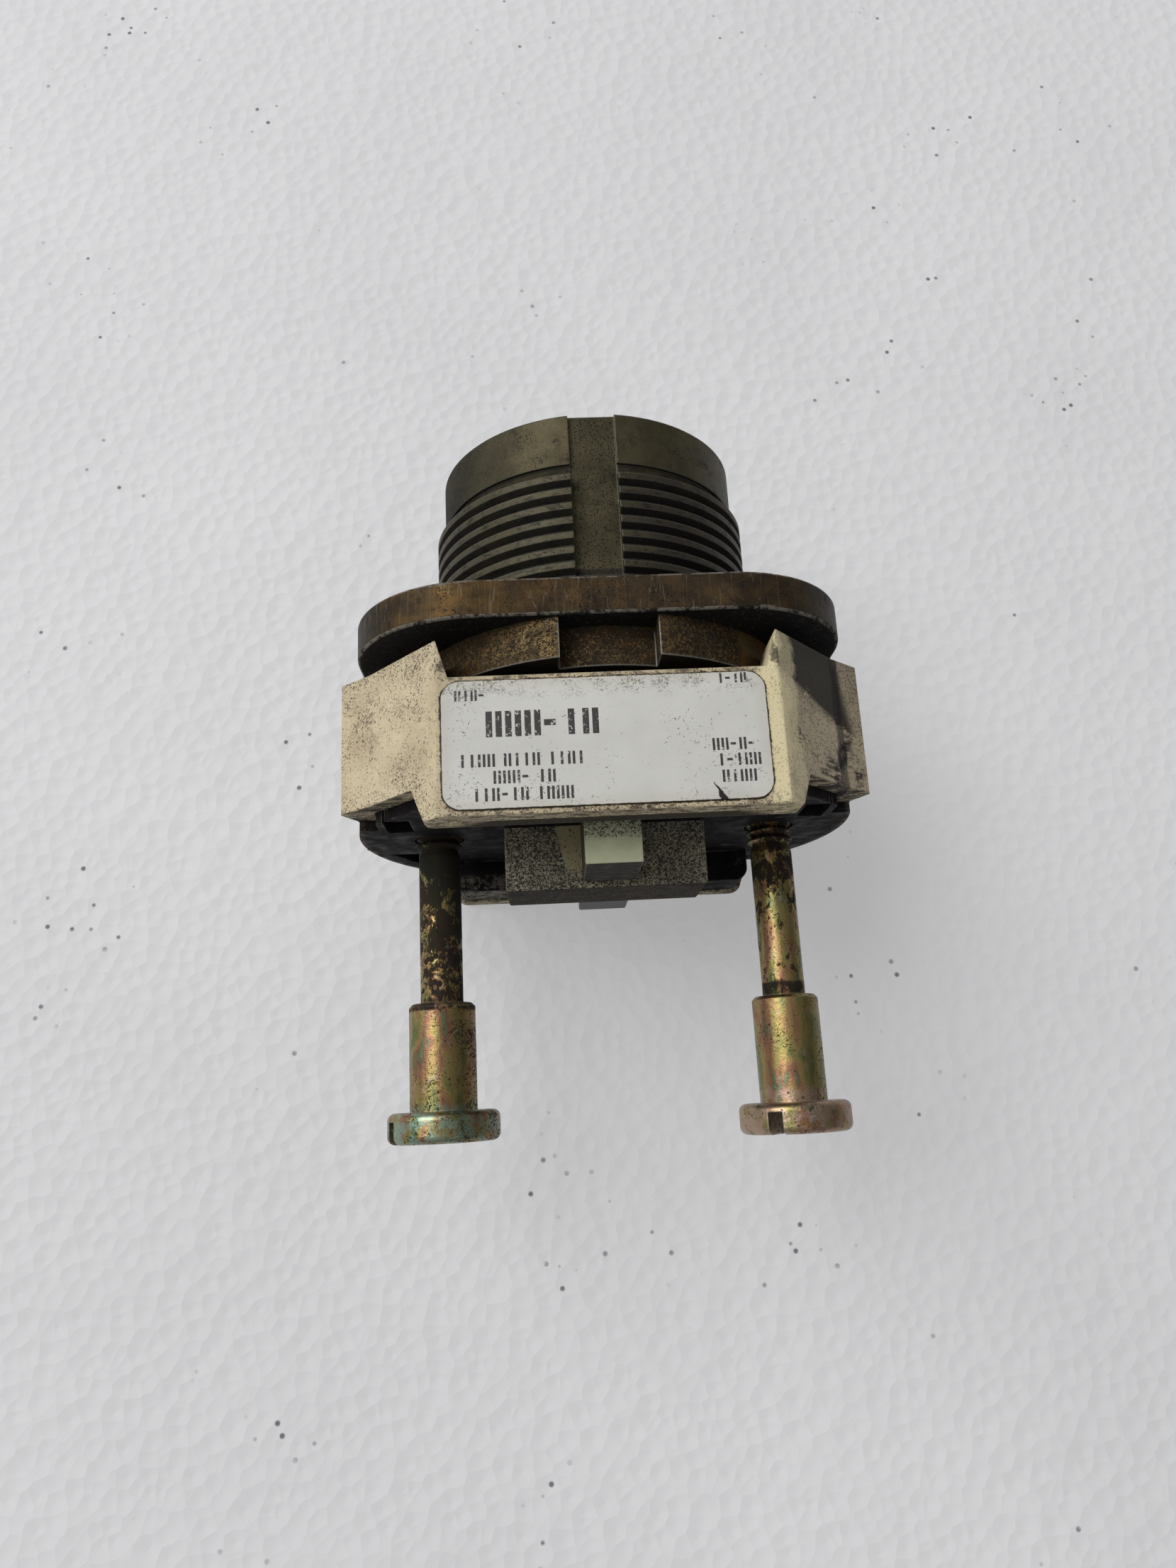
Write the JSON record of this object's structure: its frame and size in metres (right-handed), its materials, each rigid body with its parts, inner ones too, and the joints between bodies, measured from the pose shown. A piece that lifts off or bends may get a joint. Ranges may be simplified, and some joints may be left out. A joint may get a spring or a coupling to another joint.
{
  "type": "rotary selector switch operator",
  "caption": "Panel selector-switch operator: threaded bush with oval flange, moulded cam housing, two push actuators and long slotted mounting screws.",
  "frame": {"origin": "on the bush axis, in the plane of the flange's front face, which lies against the panel", "axes": "-Y out through the front of the panel along the bush, +Z towards the side 1 label and the keyway, +X to the left seen from behind"},
  "size_m": [0.0464, 0.0668, 0.0348],
  "materials": {
    "zinc_casting": "olive-brown dirty chromated zinc casting, worn bright on the thread crests",
    "ring_metal": "golden-brown plated metal with dark specks",
    "spring_steel": "bright steel",
    "plated_screw": "yellow iridescent chromate plating, grimy",
    "cream_plastic": "cream moulded plastic with fine dark specks",
    "dark_plastic": "near-black moulded plastic, greasy",
    "guide_plastic": "grey-cream plastic densely speckled with dirt",
    "white_plastic": "greenish white moulded plastic",
    "black_plastic": "black moulded plastic",
    "label_film": "off-white printed label film",
    "seal_rubber": "black rubber",
    "bearing_brass": "turned brass"
  },
  "bodies": {
    "housing": {"bushing": "zinc_casting", "index_ring": "ring_metal", "housing_snap_ring": "spring_steel", "cam_housing": "cream_plastic", "label_side_1": "label_film", "label_side_2": "label_film", "rear_base": "dark_plastic", "plunger_guide": "guide_plastic", "white_return_spring": "spring_steel", "black_return_spring": "spring_steel", "shaft_bearing": "bearing_brass", "shaft_seal": "seal_rubber", "thrust_washer": "spring_steel", "detent_balls": "spring_steel", "detent_springs": "spring_steel", "threaded_inserts": "bearing_brass"},
    "rotor": {"selector_shaft": "spring_steel", "cam_rotor": "black_plastic", "rotor_pin": "spring_steel", "shaft_clip": "spring_steel"},
    "white_actuator": {"white_plunger": "white_plastic"},
    "black_actuator": {"black_plunger": "black_plastic"},
    "left_screw": {"screw_left": "plated_screw"},
    "right_screw": {"screw_right": "plated_screw"}
  },
  "joints": [
    {"name": "selector_turn", "type": "hinge", "parent": "housing", "child": "rotor", "pos_m": [0, 0, 0], "axis": [0, 1, 0], "range_deg": [-45, 45]},
    {"name": "white_actuator_slide", "type": "slide", "parent": "housing", "child": "white_actuator", "axis": [0, 1, 0], "range_m": [-0.0024, 0.0024], "deforming": ["white_return_spring"]},
    {"name": "black_actuator_slide", "type": "slide", "parent": "housing", "child": "black_actuator", "axis": [0, 1, 0], "range_m": [-0.0024, 0.0024], "deforming": ["black_return_spring"]},
    {"name": "left_screw_turn", "type": "hinge", "parent": "housing", "child": "left_screw", "pos_m": [0.0154, 0.0181, 0], "axis": [0, 1, 0], "continuous": true},
    {"name": "right_screw_turn", "type": "hinge", "parent": "housing", "child": "right_screw", "pos_m": [-0.0154, 0.0181, 0], "axis": [0, 1, 0], "continuous": true}
  ],
  "couplings": [
    {"joint": "white_actuator_slide", "follows": "selector_turn", "m_per_rad": 0.003055},
    {"joint": "black_actuator_slide", "follows": "selector_turn", "m_per_rad": -0.003055}
  ]
}
